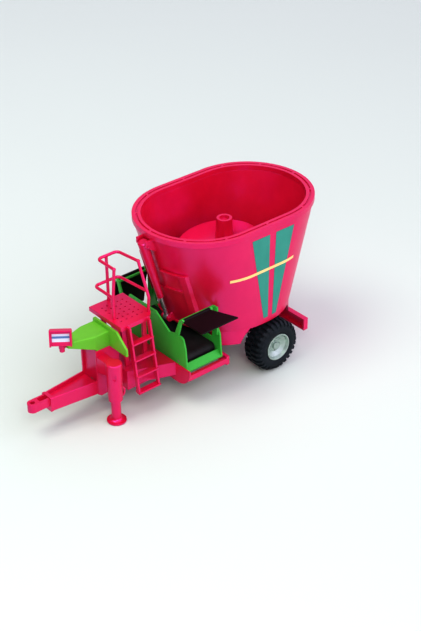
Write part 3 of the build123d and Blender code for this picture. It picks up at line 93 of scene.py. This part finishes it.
GREEN_SHEEN = (0.8, 1.0, 0.8)

# Display face: its tones, the band's span up the face, and the gloss with its noise
SCREEN_PALE = (0.62, 0.66, 0.76)
SCREEN_BLUE = (0.10, 0.20, 0.42)
SCREEN_BAND = (0.46, 0.72)
SCREEN_PATCHES = 500.0
SCREEN_ROUGHNESS = (0.18, 0.3)

# Points of the tub's mesh this close to a level belong to its ring there
LEVEL_TOLERANCE = 0.1 * MM

# Plain stripes printed on the tub's left side: centre along the side at the top and bottom, width at both
STRIPE_LIFT = 0.12 * MM
STRIPE_THICKNESS = 0.08 * MM
STRIPE_ROWS = 24
STRIPE_COLUMNS = 8
STRIPE_LOW_SHARE = 0.06
STRIPE_HIGH_SHARE = 0.95
BARS = {
    "tub_stripe_front": (11.0 * MM, 0.5 * MM, 24.0 * MM, 6.0 * MM),
    "tub_stripe_rear": (-22.0 * MM, -11.5 * MM, 25.0 * MM, 6.0 * MM),
}
PINSTRIPE_SHARES = (0.575, 0.605)
PINSTRIPE_ENDS = (48.0 * MM, -38.0 * MM)
PINSTRIPE_COLUMNS = 40

# Camera, fitted to the photograph's 421 x 631 frame
PHOTO_LONG_SIDE = 631
FOCAL_PIXELS = 1434.0
SENSOR = 36.0
CAMERA_PLACE = Vector((0.61065, 1.01448, 0.84348))
CAMERA_AZIMUTH = radians(140.221)
CAMERA_ELEVATION = radians(32.242)
CAMERA_ROLL = radians(-0.772)

# Studio light: a fill all round, strongest at the left rear, a soft key above and a lamp at the front left
KEY_PLACE = Vector((0.9, -0.3, 2.6))
KEY_TARGET = Vector((-0.2, 0.0, 0.05))
KEY_SIZE = 1.5
KEY_WATTS = 38.0
KEY_COLOUR = (1.0, 1.0, 0.93)
SIDE_PLACE = Vector((0.75, 1.5, 1.5))
SIDE_TARGET = Vector((-0.2, 0.0, 0.08))
SIDE_SIZE = 1.0
SIDE_WATTS = 21.0
SIDE_COLOUR = (1.0, 0.97, 0.97)
FILL_SIDE = Vector((-0.75, 0.65, 0.1))
FILL_COLOURS = [(0.0, (0.03, 0.03, 0.03)), (0.5, (0.26, 0.25, 0.29)), (1.0, (0.88, 0.75, 1.0))]
FILL_STRENGTH = 2.4
BACKDROP_TONE = (0.76, 0.77, 0.78, 1.0)
VIEW_GAMMA = 0.8

# Floor: half its side, the size of its faint patches in cells per metre, and their tones
FLOOR_HALF = 6.0
FLOOR_PATCHES = 1.2
FLOOR_TONES = [(0.3, (0.61, 0.70, 0.615)), (0.7, (0.62, 0.71, 0.625))]
FLOOR_ROUGHNESS = 0.8


def new_material(name):
    """A material with an empty node tree, its output and its main shader."""
    material = bpy.data.materials.new(name)
    material.use_nodes = True
    tree = material.node_tree
    tree.nodes.clear()
    output = tree.nodes.new("ShaderNodeOutputMaterial")
    shader = tree.nodes.new("ShaderNodeBsdfPrincipled")
    tree.links.new(shader.outputs["BSDF"], output.inputs["Surface"])
    return material, tree, shader


def node(tree, kind, **settings):
    """A node with its properties or input values set by name."""
    made = tree.nodes.new(kind)
    for key, value in settings.items():
        if key in made.inputs:
            made.inputs[key].default_value = value
        else:
            setattr(made, key, value)
    return made


def place(tree):
    """The part's own coordinates in metres."""
    return tree.nodes.new("ShaderNodeTexCoord").outputs["Object"]


def noise(tree, scale, detail=4.0, roughness=0.55):
    """Noise over the part, scale in cells per metre."""
    made = node(tree, "ShaderNodeTexNoise", Scale=scale, Detail=detail, Roughness=roughness)
    tree.links.new(place(tree), made.inputs["Vector"])
    return made.outputs["Fac"]


def ramp(tree, source, stops, interpolation="LINEAR"):
    """A colour ramp over a source, as (position, colour) stops."""
    made = node(tree, "ShaderNodeValToRGB")
    made.color_ramp.interpolation = interpolation
    elements = made.color_ramp.elements
    stops = list(stops)
    while len(elements) < len(stops):
        elements.new(MIDDLE)
    for element, (position, colour) in zip(elements, stops):
        element.position = position
        element.color = (*colour, 1.0)
    tree.links.new(source, made.inputs["Fac"])
    return made.outputs["Color"]


def spread(tree, source, low, high, start=0.0, stop=1.0):
    """A source between start and stop mapped to a span of values."""
    made = node(tree, "ShaderNodeMapRange")
    for socket, value in (("From Min", start), ("From Max", stop), ("To Min", low), ("To Max", high)):
        made.inputs[socket].default_value = value
    tree.links.new(source, made.inputs["Value"])
    return made.outputs["Result"]


def bump(tree, shader, source, strength, height, edge):
    """Bump from a height source onto a shader, over edges that are rounded by a radius."""
    made = node(tree, "ShaderNodeBump", Strength=strength, Distance=height)
    tree.links.new(source, made.inputs["Height"])
    soft = node(tree, "ShaderNodeBevel", samples=EDGE_SAMPLES, Radius=edge)
    tree.links.new(soft.outputs["Normal"], made.inputs["Normal"])
    tree.links.new(made.outputs["Normal"], shader.inputs["Normal"])


def moulded_plastic(name, dark, light, gloss, tint=(1, 1, 1), specular=0.5, ior=1.5):
    """Semi-gloss moulded plastic: faint flow marks in the colour, patchy gloss and a fine grain."""
    material, tree, shader = new_material(name)
    flow = noise(tree, PLASTIC_FLOW, detail=3.0)
    tree.links.new(ramp(tree, flow, zip(TONE_ENDS, (dark, light))), shader.inputs["Base Color"])
    patches = noise(tree, PLASTIC_PATCHES, detail=5.0)
    low, high = (gloss + stray for stray in PLASTIC_GLOSS)
    tree.links.new(spread(tree, patches, low, high), shader.inputs["Roughness"])
    shader.inputs["IOR"].default_value = ior
    shader.inputs["Specular IOR Level"].default_value = specular
    shader.inputs["Specular Tint"].default_value = (*tint, 1.0)
    grain = noise(tree, PLASTIC_GRAIN, detail=2.0)
    bump(tree, shader, grain, PLASTIC_GRAIN_STRENGTH, PLASTIC_GRAIN_HEIGHT, PLASTIC_EDGE)
    return material


def rubber(name, dark, light, grain):
    """Dull rubber with a dusty tone and a fine grain."""
    material, tree, shader = new_material(name)
    dust = noise(tree, RUBBER_DUST, detail=6.0)
    tree.links.new(ramp(tree, dust, zip(RUBBER_DUST_ENDS, (dark, light))), shader.inputs["Base Color"])
    tree.links.new(spread(tree, dust, *RUBBER_ROUGHNESS), shader.inputs["Roughness"])
    shader.inputs["Specular IOR Level"].default_value = RUBBER_SPECULAR
    rough = noise(tree, grain, detail=3.0)
    bump(tree, shader, rough, RUBBER_GRAIN_STRENGTH, RUBBER_GRAIN_HEIGHT, PLASTIC_EDGE)
    return material


def metal(name, dark, light, gloss, grain):
    """Bright metal or a metallic coat with faint streaks."""
    material, tree, shader = new_material(name)
    streaks = noise(tree, grain, detail=5.0)
    tree.links.new(ramp(tree, streaks, zip(TONE_ENDS, (dark, light))), shader.inputs["Base Color"])
    low, high = (gloss + stray for stray in METAL_GLOSS)
    tree.links.new(spread(tree, streaks, low, high), shader.inputs["Roughness"])
    shader.inputs["Metallic"].default_value = METAL_SHARE
    bump(tree, shader, streaks, METAL_STREAK_STRENGTH, METAL_STREAK_HEIGHT, METAL_EDGE)
    return material


def screen_material():
    """A printed display face: pale, with one plain blue band across it."""
    low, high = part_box("display_screen")
    material, tree, shader = new_material("screen_print")
    parts = node(tree, "ShaderNodeSeparateXYZ")
    tree.links.new(place(tree), parts.inputs["Vector"])
    rise = spread(tree, parts.outputs["Z"], 0.0, 1.0, start=low.z, stop=high.z)
    stops = zip((0.0, *SCREEN_BAND), (SCREEN_PALE, SCREEN_BLUE, SCREEN_PALE))
    tree.links.new(ramp(tree, rise, stops, "CONSTANT"), shader.inputs["Base Color"])
    gloss = spread(tree, noise(tree, SCREEN_PATCHES), *SCREEN_ROUGHNESS)
    tree.links.new(gloss, shader.inputs["Roughness"])
    return material


red_plastic = moulded_plastic(
    "red_plastic",
    dark=(0.61, 0.005, 0.031),
    light=(0.67, 0.007, 0.040),
    gloss=0.30,
    tint=RED_SHEEN,
    specular=1.0,
    ior=1.75,
)
green_plastic = moulded_plastic(
    "green_plastic",
    dark=(0.14, 0.46, 0.034),
    light=(0.17, 0.52, 0.042),
    gloss=0.32,
    tint=GREEN_SHEEN,
    specular=0.3,
)
# Painted shade: a cooler, darker copy of the green plastic, used for the trough and the flap frames in place
# of the shade on them
shaded_green = moulded_plastic(
    "shaded_green",
    dark=(0.045, 0.40, 0.050),
    light=(0.060, 0.46, 0.065),
    gloss=0.32,
    tint=GREEN_SHEEN,
    specular=0.3,
)
black_plastic = moulded_plastic(
    "black_plastic", dark=(0.004, 0.003, 0.003), light=(0.007, 0.005, 0.005), gloss=0.42, specular=0.18
)
grey_plastic = moulded_plastic("grey_plastic", dark=(0.17, 0.17, 0.18), light=(0.23, 0.23, 0.24), gloss=0.45)
teal_print = moulded_plastic("teal_print", dark=(0.02, 0.26, 0.19), light=(0.03, 0.30, 0.22), gloss=0.34)
yellow_print = moulded_plastic("yellow_print", dark=(0.88, 0.62, 0.22), light=(0.94, 0.70, 0.30), gloss=0.34)
tyre_rubber = rubber("tyre_rubber", dark=(0.005, 0.009, 0.012), light=(0.011, 0.018, 0.023), grain=1500.0)
belt_rubber = rubber("belt_rubber", dark=(0.010, 0.010, 0.010), light=(0.022, 0.022, 0.022), grain=2200.0)
silver_plastic = metal(
    "silver_plastic", dark=(0.36, 0.46, 0.40), light=(0.46, 0.56, 0.50), gloss=0.40, grain=300.0
)
steel = metal("steel", dark=(0.50, 0.50, 0.51), light=(0.66, 0.66, 0.67), gloss=0.28, grain=900.0)
screen_print = screen_material()

SLOT_MATERIALS = {
    "red_plastic": red_plastic,
    "green_plastic": green_plastic,
    "black_plastic": black_plastic,
    "grey_plastic": grey_plastic,
    "silver_plastic": silver_plastic,
    "steel": steel,
    "belt_rubber": belt_rubber,
    "tyre_rubber": tyre_rubber,
    "screen_print": screen_print,
}

# Pieces in a cooler, slightly darker copy of the hood's green: painted shade, standing in for the shade these
# pieces sit in
SHADED_GREEN_NODES = {"conveyor_trough", "flap_frame_left", "flap_frame_right"}

for subpart in frame["record"]["subparts"]:
    slots = nodes[subpart["node"]].data.materials
    slots.clear()
    in_shade = subpart["node"] in SHADED_GREEN_NODES
    slots.append(shaded_green if in_shade else SLOT_MATERIALS[subpart["material_slot"]])


# The tub's wall, read from its node: an oval whose straight run and end radius change evenly with height
def section_at(level):
    """Half run and radius of the tub's outline, from the points of its mesh that lie at a level."""
    points = [vertex.co for vertex in nodes["tub_shell"].data.vertices]
    ring = [point for point in points if abs(point.z - level) < LEVEL_TOLERANCE]
    radius = max(point.y for point in ring)
    reach = (max(point.x for point in ring) - min(point.x for point in ring)) / 2
    return reach - radius, radius


tub_low, tub_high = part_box("tub_shell")
TUB_X = (tub_low.x + tub_high.x) / 2
BASE_RUN, BASE_RADIUS = section_at(tub_low.z)
TOP_RUN, TOP_RADIUS = section_at(tub_high.z)


def between(low, high, share):
    """The value at a share of the way from low to high."""
    return low + (high - low) * share


def wall_point(along, share):
    """Point just off the tub's left side: along runs forward from the middle of the side."""
    half_run = between(BASE_RUN, TOP_RUN, share)
    radius = between(BASE_RADIUS, TOP_RADIUS, share) + STRIPE_LIFT
    height = between(tub_low.z, tub_high.z, share)
    over = abs(along) - half_run
    if over <= 0:
        return Vector((TUB_X + along, radius, height))
    turn = over / radius
    forward = 1 if along > 0 else -1
    return Vector((TUB_X + forward * (half_run + radius * sin(turn)), radius * cos(turn), height))


def printed_patch(name, columns, rows, point, material):
    """A thin printed patch on the tub: a grid of points with a little thickness."""
    shape = bmesh.new()
    grid = [
        [shape.verts.new(point(column / columns, row / rows)) for column in range(columns + 1)]
        for row in range(rows + 1)
    ]
    for row in range(rows):
        for column in range(columns):
            corners = (
                grid[row][column],
                grid[row + 1][column],
                grid[row + 1][column + 1],
                grid[row][column + 1],
            )
            shape.faces.new(corners)
    bmesh.ops.recalc_face_normals(shape, faces=shape.faces)
    mesh = bpy.data.meshes.new(name)
    shape.to_mesh(mesh)
    shape.free()
    made = bpy.data.objects.new(name, mesh)
    bpy.context.scene.collection.objects.link(made)
    skin = made.modifiers.new("thickness", "SOLIDIFY")
    skin.thickness = STRIPE_THICKNESS
    skin.offset = 0.0
    mesh.materials.append(material)
    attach(made, "wagon")


def bar_point(bar, across, rise):
    """Point of a bar, at shares of its width and height."""
    top_middle, base_middle, top_width, base_width = bar
    middle = between(base_middle, top_middle, rise)
    width = between(base_width, top_width, rise)
    return wall_point(middle + width * (across - MIDDLE), between(STRIPE_LOW_SHARE, STRIPE_HIGH_SHARE, rise))


def line_point(across, rise):
    """Point of the thin line, which lies over the bars, at shares of its length and height."""
    spot = wall_point(between(*PINSTRIPE_ENDS, across), between(*PINSTRIPE_SHARES, rise))
    return spot + Vector((0, STRIPE_LIFT, 0))


def stripes():
    """Two plain bars that narrow with the tub and one thin line across its side."""
    for name, bar in BARS.items():
        printed_patch(name, STRIPE_COLUMNS, STRIPE_ROWS, partial(bar_point, bar), teal_print)
    printed_patch("tub_pinstripe", PINSTRIPE_COLUMNS, 1, line_point, yellow_print)


# Studio: a pale floor under the fill and two soft lights
def floor():
    """A pale seamless floor that the wheels and the stand's foot touch."""
    mesh = bpy.data.meshes.new("floor")
    shape = bmesh.new()
    bmesh.ops.create_grid(shape, x_segments=1, y_segments=1, size=FLOOR_HALF)
    shape.to_mesh(mesh)
    shape.free()
    made = bpy.data.objects.new("floor", mesh)
    bpy.context.scene.collection.objects.link(made)
    made.location.z = GROUND
    material, tree, shader = new_material("pale_floor")
    tones = ramp(tree, noise(tree, FLOOR_PATCHES, detail=2.0), FLOOR_TONES)
    tree.links.new(tones, shader.inputs["Base Color"])
    shader.inputs["Roughness"].default_value = FLOOR_ROUGHNESS
    mesh.materials.append(material)


def area_light(name, spot, target, size, watts, colour):
    """A square soft light that faces a point."""
    data = bpy.data.lights.new(name, "AREA")
    data.size = size
    data.energy = watts
    data.color = colour
    made = bpy.data.objects.new(name, data)
    bpy.context.scene.collection.objects.link(made)
    made.location = spot
    made.rotation_euler = (target - spot).to_track_quat("-Z", "Y").to_euler()


def studio():
    """Fill, backdrop, lights and floor, without a film curve so that the plastics keep their colours."""
    view = bpy.context.scene.view_settings
    view.view_transform = "Standard"
    view.gamma = VIEW_GAMMA
    world = bpy.data.worlds.new("studio")
    bpy.context.scene.world = world
    world.use_nodes = True
    tree = world.node_tree
    fill = tree.nodes["Background"]
    facing = node(tree, "ShaderNodeVectorMath", operation="DOT_PRODUCT")
    facing.inputs[1].default_value = FILL_SIDE
    tree.links.new(tree.nodes.new("ShaderNodeTexCoord").outputs["Generated"], facing.inputs[0])
    share = spread(tree, facing.outputs["Value"], 0.0, 1.0, start=-1.0, stop=1.0)
    tree.links.new(ramp(tree, share, FILL_COLOURS), fill.inputs["Color"])
    fill.inputs["Strength"].default_value = FILL_STRENGTH
    backdrop = node(tree, "ShaderNodeBackground", Color=BACKDROP_TONE)
    seen = node(tree, "ShaderNodeMixShader")
    tree.links.new(tree.nodes.new("ShaderNodeLightPath").outputs["Is Camera Ray"], seen.inputs["Fac"])
    tree.links.new(fill.outputs["Background"], seen.inputs[1])
    tree.links.new(backdrop.outputs["Background"], seen.inputs[2])
    tree.links.new(seen.outputs["Shader"], tree.nodes["World Output"].inputs["Surface"])
    area_light("key_light", KEY_PLACE, KEY_TARGET, KEY_SIZE, KEY_WATTS, KEY_COLOUR)
    area_light("side_light", SIDE_PLACE, SIDE_TARGET, SIDE_SIZE, SIDE_WATTS, SIDE_COLOUR)
    floor()


def camera():
    """The photograph's camera."""
    back = Vector((
        sin(CAMERA_AZIMUTH) * cos(CAMERA_ELEVATION),
        -cos(CAMERA_AZIMUTH) * cos(CAMERA_ELEVATION),
        sin(CAMERA_ELEVATION),
    ))
    level = Vector((0, 0, 1)).cross(back).normalized()
    upright = back.cross(level)
    right = level * cos(CAMERA_ROLL) + upright * sin(CAMERA_ROLL)
    up = upright * cos(CAMERA_ROLL) - level * sin(CAMERA_ROLL)
    data = bpy.data.cameras.new("camera")
    data.sensor_width = SENSOR
    data.lens = FOCAL_PIXELS / PHOTO_LONG_SIDE * SENSOR
    made = bpy.data.objects.new("camera", data)
    bpy.context.scene.collection.objects.link(made)
    turn = Matrix((right, up, back)).transposed().to_4x4()
    made.matrix_world = Matrix.Translation(CAMERA_PLACE) @ turn
    bpy.context.scene.camera = made


stripes()
studio()
camera()
